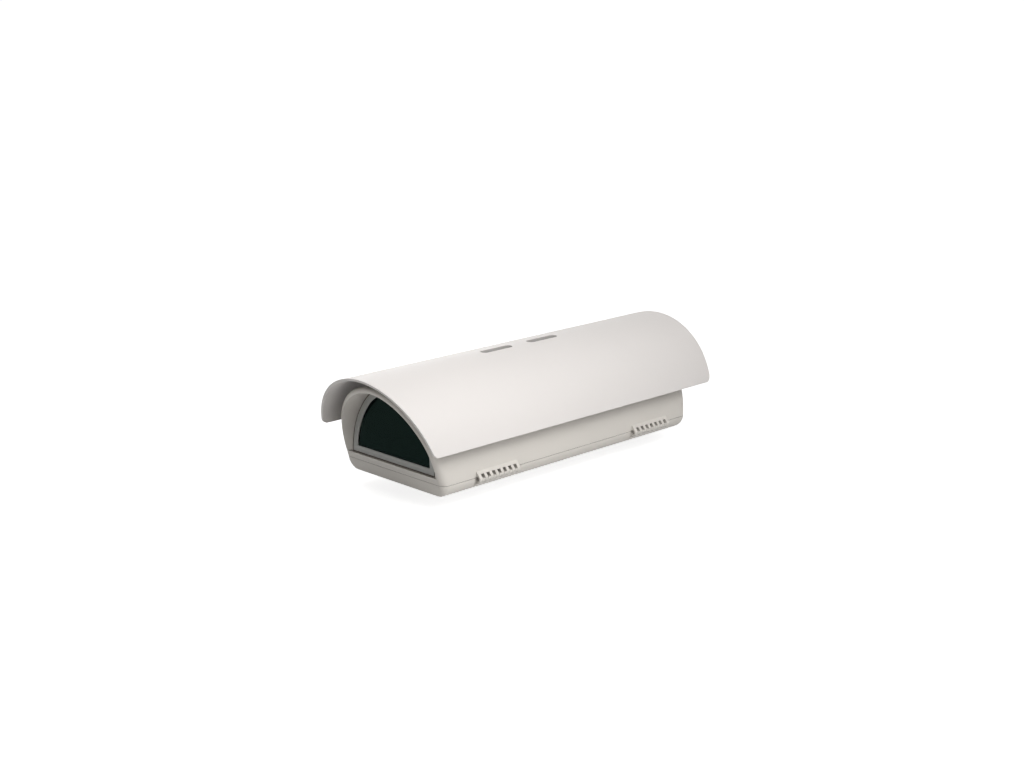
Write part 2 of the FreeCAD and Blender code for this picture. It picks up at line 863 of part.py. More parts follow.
def closing_screw(y):
    seat = closing_seat
    head = rod(closing_head_radius, closing_x, y, seat - closing_head_height, seat)
    head_bottom = seat - closing_head_height
    socket = hexagon(closing_socket, closing_x, y, head_bottom - 1, head_bottom + closing_head_height / 2)
    neck = rod(closing_neck_radius, closing_x, y, seat, closing_shoulder)
    end = closing_shoulder + closing_thread_length
    thread = rod(closing_thread_radius, closing_x, y, closing_shoulder, end)
    tip = [e for e in thread.Edges if len(e.Vertexes) == 1 and e.Vertexes[0].Point.z > end - 1]
    return fuse([head, neck, thread.makeChamfer(screw_tip_chamfer, tip)]).cut(socket)


def camera_plate():
    z0 = plate_height + lift_clearance
    z1 = z0 + plate_thickness
    plate = box(-plate_half_width, plate_half_width, -plate_half_length, plate_half_length, z0, z1)
    corners = [e for e in plate.Edges if abs(e.Length - plate_thickness) < 1e-3]
    plate = plate.makeFillet(plate_corner, corners)
    width = 2 * (lock_screw_radius + slot_clearance)
    for sign in (-1, 1):
        plate = plate.cut(slot(0, sign * lock_screw_y, 2 * plate_travel + width, width, z0 - 1, z1 + 1))
    width = 2 * (camera_screw_radius + slot_clearance)
    return plate.cut(slot(0, 0, 2 * camera_screw_travel + width, width, z0 - 1, z1 + 1))


def plate_top():
    return plate_height + lift_clearance + plate_thickness


def plate_lock_screws():
    screws = []
    seat = plate_top() + lift_clearance
    for sign in (-1, 1):
        y = sign * lock_screw_y
        washer = rod(lock_washer_radius, 0, y, seat, seat + washer_thickness)
        head = rod(lock_head_radius, 0, y, seat, seat + washer_thickness + lock_head_height)
        half = lock_screw_slit / 2
        slit = box(-half, half, y - far, y + far, seat + lock_head_height, far)
        shank = rod(lock_screw_radius, 0, y, plate_height - lock_screw_bite, seat)
        screws.append(fuse([washer, head, shank]).cut(slit))
    return Part.Compound(screws)


def camera_screw():
    top = plate_height + lift_clearance / 2
    low = top - camera_head_height
    head = rod(camera_head_radius, 0, 0, low, top)
    tip = plate_top() + pad_thickness + camera_screw_reach
    shank = rod(camera_screw_radius, 0, 0, top, tip)
    end = [e for e in shank.Edges if len(e.Vertexes) == 1 and e.Vertexes[0].Point.z > tip - 1]
    half = camera_screw_slit / 2
    slit = box(-half, half, -far, far, -far, low + camera_screw_slit_depth)
    return fuse([head, shank.makeChamfer(screw_tip_chamfer, end)]).cut(slit)


def camera_pad():
    z0 = plate_top() + lift_clearance
    pad = box(-pad_half_width, pad_half_width, -pad_half_length, pad_half_length, z0, z0 + pad_thickness)
    corners = [e for e in pad.Edges if abs(e.Length - pad_thickness) < 1e-3]
    return pad.makeFillet(pad_corner, corners).cut(rod(camera_screw_radius + thread_clearance, 0, 0, 0, far))


def heater_bottom():
    return wall + heater_pad_height


def heater_block():
    z0 = heater_bottom()
    z1 = z0 + heater_plate
    y0, y1 = heater_y - heater_half_depth, heater_y + heater_half_depth
    shapes = [box(-heater_half_length, heater_half_length, y0, y1, z0, z1)]
    for k in range(heater_fins):
        x = (k - (heater_fins - 1) / 2) * heater_fin_pitch
        half = heater_fin_thickness / 2
        shapes.append(box(x - half, x + half, y0, y1, z0, z1 + heater_fin_height))
    block = fuse(shapes)
    for sign in (-1, 1):
        block = block.cut(rod(small_screw_radius + slot_clearance, sign * heater_screw_x, heater_y, 0, far))
    return block


def small_screw(x, y, seat, bite):
    head = rod(small_head_radius, x, y, seat, seat + small_head_height)
    return fuse([head, rod(small_screw_radius, x, y, seat - bite, seat)])


def heater_screws():
    seat = heater_bottom() + heater_plate
    places = [sign * heater_screw_x for sign in (-1, 1)]
    return Part.Compound([small_screw(x, heater_y, seat, small_screw_bite) for x in places])


def heat_switch():
    """A round bimetal switch with two tabs, clipped against the heater's rear edge."""
    y = heater_y + heater_half_depth + heat_switch_radius
    top = wall + heat_switch_height
    can = rod(heat_switch_radius, 0, y, wall, top)
    half_x, half_y = switch_tab_width / 2, switch_tab_thickness / 2
    tabs = []
    for x in (-switch_tab_x, switch_tab_x):
        tabs.append(box(x - half_x, x + half_x, y - half_y, y + half_y, top - 1, top + switch_tab_height))
    return fuse([can] + tabs)


def board_bottom():
    return wall + board_pillar_height


def terminal_board():
    z0 = board_bottom()
    x0, x1 = board_x - board_half_width, board_x + board_half_width
    y0, y1 = board_y - board_half_length, board_y + board_half_length
    board = box(x0, x1, y0, y1, z0, z0 + board_thickness)
    for x, y in board_places():
        board = board.cut(rod(small_screw_radius + slot_clearance, x, y, 0, far))
    return board


def board_screws():
    seat = board_bottom() + board_thickness
    return Part.Compound([small_screw(x, y, seat, small_screw_bite) for x, y in board_places()])


def terminal_block():
    z0 = board_bottom() + board_thickness
    half = block_ways * block_pitch / 2
    x0, x1 = board_x - block_width / 2, board_x + block_width / 2
    top = z0 + block_height
    block = box(x0, x1, board_y - half, board_y + half, z0, top)
    wire_bottom = z0 + wire_hole_rise
    wire, clamp = wire_hole / 2, clamp_hole / 2
    cuts = []
    for k in range(block_ways):
        y = board_y + (k - (block_ways - 1) / 2) * block_pitch
        cuts.append(box(x0 - 1, board_x, y - wire, y + wire, wire_bottom, wire_bottom + wire_hole))
        cuts.append(box(board_x - clamp, board_x + clamp, y - clamp, y + clamp, top - clamp_hole_depth, far))
    return block.cut(cuts)


def earth_screw():
    return small_screw(earth_x, earth_y, wall + earth_boss_height, small_screw_bite)


def gland_body(x):
    shapes = [
        hexagon(gland_across_flats, x, gland_y, -gland_flange, 0),
        rod(gland_thread_radius, x, gland_y, -gland_flange - gland_neck, wall + gland_stub),
    ]
    return fuse(shapes).cut(rod(gland_bore_radius, x, gland_y, -far, far))


def gland_locknut(x):
    nut = hexagon(gland_across_flats, x, gland_y, wall, wall + gland_locknut_height)
    return nut.cut(rod(gland_thread_radius + thread_clearance, x, gland_y, -far, far))


def gland_seal(x):
    top = -gland_flange - gland_neck - lift_clearance
    return tube(gland_seal_radius, gland_seal_bore_radius, x, gland_y, top - gland_seal_length, top)


def gland_nut(x):
    top = -gland_flange - gland_gap
    neck_end = -gland_flange - gland_neck
    seal_end = neck_end - lift_clearance - gland_seal_length
    tip = seal_end - gland_nut_floor
    shapes = [
        hexagon(gland_across_flats, x, gland_y, tip + gland_nut_taper, top),
        Part.makeCone(gland_nut_tip_radius, gland_across_flats / 2, gland_nut_taper, V(x, gland_y, tip)),
    ]
    cuts = [
        rod(gland_thread_radius + thread_clearance, x, gland_y, neck_end, far),
        rod(gland_seal_radius + thread_clearance, x, gland_y, seal_end, far),
        rod(gland_bore_radius, x, gland_y, -far, far),
    ]
    return fuse(shapes).cut(cuts)


def build():
    outer = outer_body()
    nodes = {
        "base_tray": base_tray(outer),
        "cover_shell": cover_shell(outer),
        "sunshield": sunshield(),
        "window_glass": window_glass(),
        "window_frame": window_frame(),
        "window_gasket": window_gasket(),
        "window_screws": window_screws(),
        "body_gasket": body_gasket(),
        "bracket_inserts": bracket_inserts(),
        "rail_inserts": rail_inserts(),
        "closing_inserts": closing_inserts(),
        "captive_rings": captive_rings(),
        "shield_washers": shield_washers(),
        "shield_screws": shield_screws(),
        "camera_plate": camera_plate(),
        "plate_lock_screws": plate_lock_screws(),
        "camera_screw": camera_screw(),
        "camera_pad": camera_pad(),
        "heater_block": heater_block(),
        "heater_screws": heater_screws(),
        "heat_switch": heat_switch(),
        "terminal_board": terminal_board(),
        "board_screws": board_screws(),
        "terminal_block": terminal_block(),
        "earth_screw": earth_screw(),
    }
    for name, centre in zip(("front", "rear"), hinge_centres):
        nodes["hinge_pin_" + name] = hinge_pin(centre)
    for number, y in enumerate(closing_screw_ys, 1):
        nodes["closing_screw_%d" % number] = closing_screw(y)
    for number, x in enumerate(gland_xs, 1):
        nodes["gland_body_%d" % number] = gland_body(x)
        nodes["gland_locknut_%d" % number] = gland_locknut(x)
        nodes["gland_seal_%d" % number] = gland_seal(x)
        nodes["gland_nut_%d" % number] = gland_nut(x)
    return nodes


os.makedirs("parts", exist_ok=True)
for node, shape in build().items():
    shape.exportStep("parts/" + node + ".step")
    state = "valid" if shape.isValid() else "INVALID"
    print(node, len(shape.Solids), "solid", round(shape.Volume), "mm3", state)
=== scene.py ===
import json
import math
import bmesh
import bpy
from mathutils import Matrix, Quaternion, Vector

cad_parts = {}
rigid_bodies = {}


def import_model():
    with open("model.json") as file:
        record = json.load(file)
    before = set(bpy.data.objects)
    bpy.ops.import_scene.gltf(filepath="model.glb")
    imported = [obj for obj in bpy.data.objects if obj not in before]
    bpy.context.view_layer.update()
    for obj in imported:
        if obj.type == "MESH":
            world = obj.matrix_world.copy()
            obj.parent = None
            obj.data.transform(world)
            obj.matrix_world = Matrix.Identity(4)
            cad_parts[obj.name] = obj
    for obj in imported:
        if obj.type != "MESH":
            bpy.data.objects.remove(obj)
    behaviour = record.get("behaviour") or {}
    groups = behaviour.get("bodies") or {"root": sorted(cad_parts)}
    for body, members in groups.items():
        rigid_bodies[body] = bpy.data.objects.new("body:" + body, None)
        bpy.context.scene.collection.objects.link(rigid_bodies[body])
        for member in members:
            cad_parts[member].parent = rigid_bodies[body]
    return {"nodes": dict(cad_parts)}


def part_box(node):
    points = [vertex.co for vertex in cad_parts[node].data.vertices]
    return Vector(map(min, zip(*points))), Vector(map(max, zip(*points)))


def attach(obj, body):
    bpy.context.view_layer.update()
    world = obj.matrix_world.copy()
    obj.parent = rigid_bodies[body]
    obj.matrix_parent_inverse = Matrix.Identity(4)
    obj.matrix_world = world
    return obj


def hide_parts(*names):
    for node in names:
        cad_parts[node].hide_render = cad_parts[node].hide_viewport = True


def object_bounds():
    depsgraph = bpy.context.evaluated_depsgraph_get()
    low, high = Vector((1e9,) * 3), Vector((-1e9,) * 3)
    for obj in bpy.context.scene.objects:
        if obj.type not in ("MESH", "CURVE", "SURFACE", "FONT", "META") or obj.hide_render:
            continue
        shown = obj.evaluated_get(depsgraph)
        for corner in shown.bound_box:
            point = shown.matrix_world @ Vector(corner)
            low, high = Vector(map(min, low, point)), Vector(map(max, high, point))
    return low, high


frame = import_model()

solid_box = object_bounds()
node = frame["nodes"]


# Base tray.
# The lower half of the housing: one tray, injection moulded in warm off-white plastic with a fine
# spark-eroded skin. It bolts to its bracket, and every inner piece and both hinge halves sit on it.

def shader_node(tree, kind, inputs=(), **settings):
    """Adds a node. Each input is given a number, a colour or the output of another node."""
    made = tree.nodes.new(kind)
    for setting, value in settings.items():
        setattr(made, setting, value)
    for socket, value in dict(inputs).items():
        if isinstance(value, bpy.types.NodeSocket):
            tree.links.new(value, made.inputs[socket])
        else:
            made.inputs[socket].default_value = value
    return made


def noise_of(tree, place, per_metre, detail=2.0, roughness=0.5):
    """Noise over the surface, with about that many lumps to a metre."""
    return shader_node(tree, "ShaderNodeTexNoise", {
        "Vector": place, "Scale": per_metre, "Detail": detail, "Roughness": roughness}).outputs["Fac"]


def spread_of(tree, value, low, high, reach=0.2):
    """Noise, which keeps within a reach of 0.5, spread out between two values."""
    return shader_node(tree, "ShaderNodeMapRange", {
        "Value": value, "From Min": 0.5 - reach, "From Max": 0.5 + reach,
        "To Min": low, "To Max": high}).outputs["Result"]


def math_of(tree, operation, a, b):
    """Two values joined by one operation."""
    return shader_node(tree, "ShaderNodeMath", {0: a, 1: b}, operation=operation).outputs["Value"]


def tint_of(tree, colour, factor):
    """A colour made darker or lighter by a factor that changes over the surface."""
    scaled = shader_node(tree, "ShaderNodeVectorMath", {0: colour, "Scale": factor}, operation="SCALE")
    return scaled.outputs["Vector"]


def new_group(name, inputs, outputs):
    """An empty node group, with its inputs at their usual values and the kinds of its outputs."""
    group = bpy.data.node_groups.new(name, "ShaderNodeTree")
    for socket, value in inputs.items():
        kind = "NodeSocketColor" if isinstance(value, tuple) else "NodeSocketFloat"
        group.interface.new_socket(socket, in_out="INPUT", socket_type=kind).default_value = value
    for socket, kind in outputs.items():
        group.interface.new_socket(socket, in_out="OUTPUT", socket_type=kind)
    given = group.nodes.new("NodeGroupInput").outputs
    out = group.nodes.new("NodeGroupOutput").inputs
    return group, given, out


def effect_group(name, **inputs):
    """A group for a surface: its colour, roughness and height, from the place on the object."""
    group, given, out = new_group(name, inputs, {
        "Colour": "NodeSocketColor", "Roughness": "NodeSocketFloat", "Height": "NodeSocketFloat"})
    place = shader_node(group, "ShaderNodeTexCoord").outputs["Object"]
    return group, given, out, place


def link_outputs(group, out, **values):
    """Links each value to the group's output of that name."""
    for socket, value in values.items():
        group.links.new(value, out[socket])


def moulded_skin():
    """Spark-eroded moulded plastic: a fine grain, faint flow waves, and a slow drift of the tint."""
    group, given, out, place = effect_group(
        "moulded_skin", Colour=(0.8, 0.8, 0.8, 1), Roughness=0.5, Grain=1400.0, Drift=0.03)
    flow_waves_per_metre, clouds_per_metre = 26.0, 7.0
    darkest_speck, flow_height = 0.985, 1.6
    fine = noise_of(group, place, given["Grain"], detail=3.0, roughness=0.6)
    flow = noise_of(group, place, flow_waves_per_metre, detail=1.0)
    cloud = noise_of(group, place, clouds_per_metre, detail=3.0)
    darkest = math_of(group, "SUBTRACT", 1.0, given["Drift"])
    drift = spread_of(group, cloud, darkest, 1.0)
    speck = spread_of(group, fine, darkest_speck, 1.0)
    matt = math_of(group, "ADD", spread_of(group, cloud, -0.04, 0.04), spread_of(group, fine, -0.05, 0.05))
    link_outputs(
        group, out,
        Colour=tint_of(group, given["Colour"], math_of(group, "MULTIPLY", drift, speck)),
        Roughness=math_of(group, "ADD", given["Roughness"], matt),
        Height=math_of(group, "ADD", fine, math_of(group, "MULTIPLY", flow, flow_height)))
    return group


def soft_edges():
    """Edges a little rounded by mould or file: a normal that turns over them, and their mask."""
    group, given, out = new_group(
        "soft_edges", {"Radius": 0.0005}, {"Normal": "NodeSocketVector", "Edge": "NodeSocketFloat"})
    over = shader_node(group, "ShaderNodeBevel", {"Radius": given["Radius"]}, samples=4).outputs["Normal"]
    flat = shader_node(group, "ShaderNodeNewGeometry").outputs["Normal"]
    same = shader_node(group, "ShaderNodeVectorMath", {0: over, 1: flat}, operation="DOT_PRODUCT")
    edge = shader_node(group, "ShaderNodeMapRange", {
        "Value": same.outputs["Value"], "From Min": 0.995, "From Max": 0.80})
    link_outputs(group, out, Normal=over, Edge=edge.outputs["Result"])
    return group


def painted_gap_shade():
    """Painted shade: an occlusion mask that darkens the colour in narrow gaps and deep recesses."""
    group, given, out = new_group("painted_gap_shade", {"Reach": 0.03, "Left": 0.5}, {"Clean": "NodeSocketFloat"})
    sky = shader_node(group, "ShaderNodeAmbientOcclusion", {"Distance": given["Reach"]}, samples=8)
    shade_mask = shader_node(group, "ShaderNodeMapRange", {
        "Value": sky.outputs["AO"], "From Min": 0.28, "From Max": 0.84,
        "To Min": given["Left"], "To Max": 1.0})
    link_outputs(group, out, Clean=shade_mask.outputs["Result"])
    return group


rounded = soft_edges()
# The group for painted shade: it darkens the colour in narrow gaps and deep recesses.
gap_shade_group = painted_gap_shade()


def finish_from(name, effect, values, depth, edge_radius=0.0005, edge_wear=1.03, gap_shade_level=None,
                **shader):
    """A material: the effect's colour, roughness and bump on a shader, with soft and worn edges, and where
    asked, painted shade that darkens the colour in gaps.
    """
    material = bpy.data.materials.new(name)
    material.use_nodes = True
    tree = material.node_tree
    surface = tree.nodes["Principled BSDF"]
    given = shader_node(tree, "ShaderNodeGroup", node_tree=effect)
    for socket, value in values.items():
        given.inputs[socket].default_value = value
    edges = shader_node(tree, "ShaderNodeGroup", {"Radius": edge_radius}, node_tree=rounded).outputs
    worn = shader_node(tree, "ShaderNodeMapRange", {
        "Value": edges["Edge"], "To Min": 1.0, "To Max": edge_wear})
    bump = shader_node(tree, "ShaderNodeBump", {
        "Height": given.outputs["Height"], "Distance": depth, "Normal": edges["Normal"]})
    colour = tint_of(tree, given.outputs["Colour"], worn.outputs["Result"])
    # Painted shade: the colour is darkened where ambient occlusion finds narrow gaps and deep recesses.
    if gap_shade_level:
        shade_reach = 0.03
        gap_shading = shader_node(tree, "ShaderNodeGroup", {"Reach": shade_reach, "Left": gap_shade_level},
                            node_tree=gap_shade_group)
        colour = tint_of(tree, colour, gap_shading.outputs["Clean"])
    tree.links.new(colour, surface.inputs["Base Color"])
    tree.links.new(given.outputs["Roughness"], surface.inputs["Roughness"])
    tree.links.new(bump.outputs["Normal"], surface.inputs["Normal"])
    for socket, value in shader.items():
        surface.inputs[socket.replace("_", " ")].default_value = value
    return material


def dress(material, *names):
    """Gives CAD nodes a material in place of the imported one."""
    for name in names:
        node[name].data.materials.clear()
        node[name].data.materials.append(material)


moulded = moulded_skin()
# Painted shade: this moulding's colour is darkened in the narrow gaps and deep recesses of the tray and
# the cover.
housing_moulding = finish_from(
    "housing_moulding", moulded,
    {"Colour": (0.70, 0.665, 0.615, 1), "Roughness": 0.56, "Grain": 1400.0, "Drift": 0.03},
    depth=0.00003, gap_shade_level=0.70)
dress(housing_moulding, "base_tray")


# Bracket inserts.
# Four threaded bushes for the bracket's bolts, and the smaller ones for the closing screws and the
# sunshield's screws. They are turned from brass, knurled outside and pressed warm into the plastic.

def turned_metal():
    """Turned or rolled metal: fine tool marks, and a light tarnish in patches."""
    group, given, out, place = effect_group(
        "turned_metal", Colour=(0.6, 0.6, 0.6, 1), Roughness=0.3, Marks=900.0, Tarnish=0.15)
    patches_per_metre = 160.0
    round_the_axis = (1.0, 1.0, 6.0)
    along = shader_node(group, "ShaderNodeMapping", {"Vector": place, "Scale": round_the_axis})
    marks = noise_of(group, along.outputs["Vector"], given["Marks"])
    patches = noise_of(group, place, patches_per_metre, detail=3.0)
    darkest = math_of(group, "SUBTRACT", 1.0, given["Tarnish"])
    shade = spread_of(group, patches, darkest, 1.0, reach=0.15)
    smoother = spread_of(group, patches, 0.06, -0.04)
    rougher = spread_of(group, marks, -0.06, 0.06)
    matt = math_of(group, "ADD", smoother, rougher)
    link_outputs(
        group, out, Colour=tint_of(group, given["Colour"], shade),
        Roughness=math_of(group, "ADD", given["Roughness"], matt), Height=marks)
    return group


turned = turned_metal()
brass_turned = finish_from(
    "brass_turned", turned,
    {"Colour": (0.72, 0.52, 0.24, 1), "Roughness": 0.30, "Marks": 1200.0, "Tarnish": 0.22},
    depth=0.00002, Metallic=1.0)
dress(brass_turned, "bracket_inserts", "rail_inserts", "closing_inserts")


# Cable glands.
# Three cable glands under the tray's rear end, each a threaded body with a locknut inside the tray,
# a rubber seal and a cap nut. They are moulded in mid grey nylon, a little glossier than the tray.

gland_nylon = finish_from(
    "gland_nylon", moulded,
    {"Colour": (0.17, 0.175, 0.18, 1), "Roughness": 0.40, "Grain": 2200.0, "Drift": 0.06},
    depth=0.00002)
dress(gland_nylon, *["gland_%s_%d" % (part, k) for part in ("body", "locknut", "nut") for k in (1, 2, 3)])


def rubber_skin():
    """Moulded rubber: a soft matt skin with a faint bloom and small pits."""
    group, given, out, place = effect_group(
        "rubber_skin", Colour=(0.03, 0.03, 0.03, 1), Roughness=0.75, Bloom=0.35)
    pits_per_metre, clouds_per_metre = 2600.0, 60.0
    pits = noise_of(group, place, pits_per_metre)
    cloud = noise_of(group, place, clouds_per_metre, detail=3.0)
    lightest = math_of(group, "ADD", 1.0, given["Bloom"])
    bloom = spread_of(group, cloud, 1.0, lightest, reach=0.15)
    matt = spread_of(group, pits, -0.08, 0.08)
    link_outputs(
        group, out, Colour=tint_of(group, given["Colour"], bloom),
        Roughness=math_of(group, "ADD", given["Roughness"], matt), Height=pits)
    return group


rubber = rubber_skin()
seal_rubber = finish_from(
    "seal_rubber", rubber, {"Colour": (0.028, 0.024, 0.022, 1), "Roughness": 0.72, "Bloom": 0.35},
    depth=0.00003)
dress(seal_rubber, "gland_seal_1", "gland_seal_2", "gland_seal_3")


# Terminal board.
# The mains and video wiring ends on a green laminate board, screwed to four posts at the rear of the
# tray. It carries a black moulded terminal block, whose seven ways each have a slit clamp screw.

def laminate_skin():
    """Glass-cloth laminate under green resist, with its weave just showing and faint tracks."""
    group, given, out, place = effect_group(
        "laminate_skin", Resist=(0.02, 0.12, 0.05, 1), Track=(0.05, 0.22, 0.09, 1), Roughness=0.35)
    weave = shader_node(
        group, "ShaderNodeTexWave", {"Vector": place, "Scale": 320.0, "Distortion": 0.4},
        wave_type="BANDS", bands_direction="DIAGONAL").outputs["Fac"]
    tracks = shader_node(group, "ShaderNodeTexBrick", {
        "Vector": place, "Scale": 55.0, "Mortar Size": 0.06, "Brick Width": 0.9, "Row Height": 0.22,
        "Color1": (0, 0, 0, 1), "Color2": (0, 0, 0, 1), "Mortar": (1, 1, 1, 1)}).outputs["Fac"]
    mix_factor, mix_first, mix_second, mix_result = 0, 6, 7, 2
    mixed = shader_node(group, "ShaderNodeMix", {
        mix_factor: tracks, mix_first: given["Resist"], mix_second: given["Track"]}, data_type="RGBA")
    weave_height = 0.15
    link_outputs(
        group, out,
        Colour=tint_of(group, mixed.outputs[mix_result], spread_of(group, weave, 0.93, 1.0)),
        Roughness=math_of(group, "ADD", given["Roughness"], spread_of(group, weave, 0.0, 0.06)),
        Height=math_of(group, "ADD", tracks, math_of(group, "MULTIPLY", weave, weave_height)))
    return group


board_laminate = finish_from("board_laminate", laminate_skin(), {"Roughness": 0.32}, depth=0.00004)
dress(board_laminate, "terminal_board")
terminal_moulding = finish_from(
    "terminal_moulding", moulded,
    {"Colour": (0.022, 0.022, 0.025, 1), "Roughness": 0.42, "Grain": 2600.0, "Drift": 0.10},
    depth=0.00002)
dress(terminal_moulding, "terminal_block")


def select_only(*pieces):
    """Selects these pieces and no others, with the first one active."""
    bpy.ops.object.select_all(action="DESELECT")
    for piece in pieces:
        piece.select_set(True)
    bpy.context.view_layer.objects.active = pieces[0]


def start_piece(name, kind, place, **sizes):
    """Adds a primitive with nothing else selected, and puts its place and size into its mesh."""
    bpy.ops.object.select_all(action="DESELECT")
    getattr(bpy.ops.mesh, "primitive_%s_add" % kind)(location=place, **sizes)
    piece = bpy.context.object
    piece.name = name
    bpy.ops.object.transform_apply(location=True, rotation=True, scale=True)
    return piece


squarely = 0.9


def faces_up(centre, normal):
    """The faces that look squarely up."""
    return normal.z > squarely


def faces_down(centre, normal):
    """The faces that look squarely down."""
    return normal.z < -squarely


def pick_faces(piece, rule):
    """In edit mode, selects the faces whose centre and normal fit the rule, and no others."""
    bpy.ops.mesh.select_mode(type="FACE")
    bpy.ops.mesh.select_all(action="DESELECT")
    mesh = bmesh.from_edit_mesh(piece.data)
    for face in mesh.faces:
        face.select_set(rule(face.calc_center_median(), face.normal))
    bmesh.update_edit_mesh(piece.data)


def extrude_by(move, scale=1.0):
    """Extrudes the selected faces, and makes their new end wider or narrower."""
    bpy.ops.mesh.extrude_region_move(TRANSFORM_OT_translate={"value": move})
    if scale != 1.0:
        bpy.ops.transform.resize(value=(scale, scale, scale))


def cut_away(piece, place, size, taper):
    """Cuts a tapered blade's shape out of a piece, with the blade's wide end at the top."""
    blade = start_piece("blade", "cube", place, size=1.0, scale=size)
    bpy.ops.object.mode_set(mode="EDIT")
    pick_faces(blade, faces_down)
    bpy.ops.transform.resize(value=(taper, 1.0, 1.0) if size[0] > size[1] else (1.0, taper, 1.0))
    bpy.ops.object.mode_set(mode="OBJECT")
    cut = piece.modifiers.new("cut", "BOOLEAN")
    cut.object = blade
    cut.operation = "DIFFERENCE"
    bpy.context.view_layer.objects.active = piece
    bpy.ops.object.modifier_apply(modifier="cut")
    bpy.data.objects.remove(blade)


def headed_screw(name, head_radius, head_height, shank_radius, reach, crossed=True):
    """A headed screw that stands on its seat at the origin, with a cross recess or a plain slit."""
    head_rounding = 0.42 * head_height
    tip_length, tip_taper = 0.3 * shank_radius, 0.75
    blade_width = 0.26 * head_radius
    cross_length, cross_depth, cross_taper = 1.15 * head_radius, 1.1 * head_height, 0.35
    slit_length, slit_depth = 2.2 * head_radius, 0.88 * head_height
    screw = start_piece(
        name, "cylinder", (0, 0, head_height / 2), vertices=32, radius=head_radius, depth=head_height)
    bpy.ops.object.mode_set(mode="EDIT")
    pick_faces(screw, faces_up)
    bpy.ops.mesh.bevel(offset=head_rounding, segments=4, affect="EDGES")
    pick_faces(screw, faces_down)
    bpy.ops.mesh.inset(thickness=head_radius - shank_radius)
    extrude_by((0, 0, tip_length - reach))
    extrude_by((0, 0, -tip_length), tip_taper)
    bpy.ops.object.mode_set(mode="OBJECT")
    head_top = (0, 0, head_height)
    if crossed:
        cut_away(screw, head_top, (cross_length, blade_width, cross_depth), cross_taper)
        cut_away(screw, head_top, (blade_width, cross_length, cross_depth), cross_taper)
    else:
        cut_away(screw, head_top, (slit_length, blade_width, slit_depth), 1.0)
    return screw


def set_in_places(name, pattern, places, material, body, axis=(0, 0, 1)):
    """Copies a pattern to each place, each copy turned a little further, and joins them as one piece."""
    turn_between_copies = 0.7
    real_edge = math.radians(35.0)
    stand = Vector((0, 0, 1)).rotation_difference(Vector(axis)).to_matrix().to_4x4()
    copies = []
    for count, place in enumerate(places):
        one = pattern.copy()
        one.data = pattern.data.copy()
        turn = Matrix.Rotation(turn_between_copies * count, 4, "Z")
        one.data.transform(Matrix.Translation(place) @ stand @ turn)
        bpy.context.scene.collection.objects.link(one)
        copies.append(one)
    bpy.data.objects.remove(pattern)
    select_only(*copies)
    if len(copies) > 1:
        bpy.ops.object.join()
    piece = bpy.context.view_layer.objects.active
    piece.name = name
    piece.data.materials.clear()
    piece.data.materials.append(material)
    select_only(piece)
    bpy.ops.object.shade_smooth_by_angle(angle=real_edge)
    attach(piece, body)
    return piece


small_head, small_head_height, small_shank, small_reach = 0.0028, 0.002, 0.0015, 0.0045


def small_screw():
    """The cross-headed screw that the board, the heater and the earth wires share."""
    return headed_screw("small_screw", small_head, small_head_height, small_shank, small_reach)


steel_turned = finish_from(
    "steel_turned", turned,
    {"Colour": (0.58, 0.58, 0.57, 1), "Roughness": 0.26, "Marks": 1500.0, "Tarnish": 0.10},
    depth=0.00001, edge_radius=0.0002, edge_wear=1.08, Metallic=1.0)
board_low, board_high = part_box("terminal_board")
block_low, block_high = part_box("terminal_block")
board_top = board_high.z
board_middle = (board_low + board_high) / 2

corner_inset = 0.004
board_corners = [(x, y, board_top) for x in (board_low.x + corner_inset, board_high.x - corner_inset)
                 for y in (board_low.y + corner_inset, board_high.y - corner_inset)]
board_fixings = set_in_places("board_fixings", small_screw(), board_corners, steel_turned, "base")
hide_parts("board_screws")

clamp_ways, clamp_well_depth = 7, 0.0025
clamp_head, clamp_head_height, clamp_shank, clamp_reach = 0.0017, 0.0013, 0.001, 0.0004
block_middle_x = (block_low.x + block_high.x) / 2
way_pitch = (block_high.y - block_low.y) / clamp_ways
clamp_places = [(block_middle_x, block_low.y + way_pitch * (way + 0.5), block_high.z - clamp_well_depth)
                for way in range(clamp_ways)]
clamp_screw = headed_screw(
    "clamp_screw", clamp_head, clamp_head_height, clamp_shank, clamp_reach, crossed=False)
set_in_places("clamp_screws", clamp_screw, clamp_places, steel_turned, "base")


# Components of the terminal board.
# A ceramic fuse in two sprung brass clips guards the heater's supply, and a sleeved can capacitor and
# a glazed varistor disc take the mains' spikes. All stand on the board beside the terminal block.

strip_inset = 0.0052
left_strip = board_low.x + strip_inset
right_strip = board_high.x - strip_inset
lying = (math.radians(90), 0, 0)
as_made = [(0, 0, 0)]

sleeve_moulding = finish_from(
    "sleeve_moulding", moulded,
    {"Colour": (0.035, 0.05, 0.11, 1), "Roughness": 0.34, "Grain": 3000.0, "Drift": 0.08},
    depth=0.00001, edge_radius=0.0002)
can_radius, can_height, can_behind_middle = 0.0036, 0.0085, 0.013
can_rounding, can_rim, can_sink = 0.10 * can_radius, 0.16 * can_radius, 0.06 * can_radius
can_sink_taper = 0.97
can = start_piece(
    "board_capacitor", "cylinder",
    (left_strip, board_middle.y + can_behind_middle, board_top + can_height / 2),
    vertices=40, radius=can_radius, depth=can_height)
bpy.ops.object.mode_set(mode="EDIT")
pick_faces(can, faces_up)
bpy.ops.mesh.bevel(offset=can_rounding, segments=3, affect="EDGES")
pick_faces(can, faces_up)
bpy.ops.mesh.inset(thickness=can_rim)
extrude_by((0, 0, -can_sink), can_sink_taper)
bpy.ops.object.mode_set(mode="OBJECT")
set_in_places("board_capacitor", can, as_made, sleeve_moulding, "base")

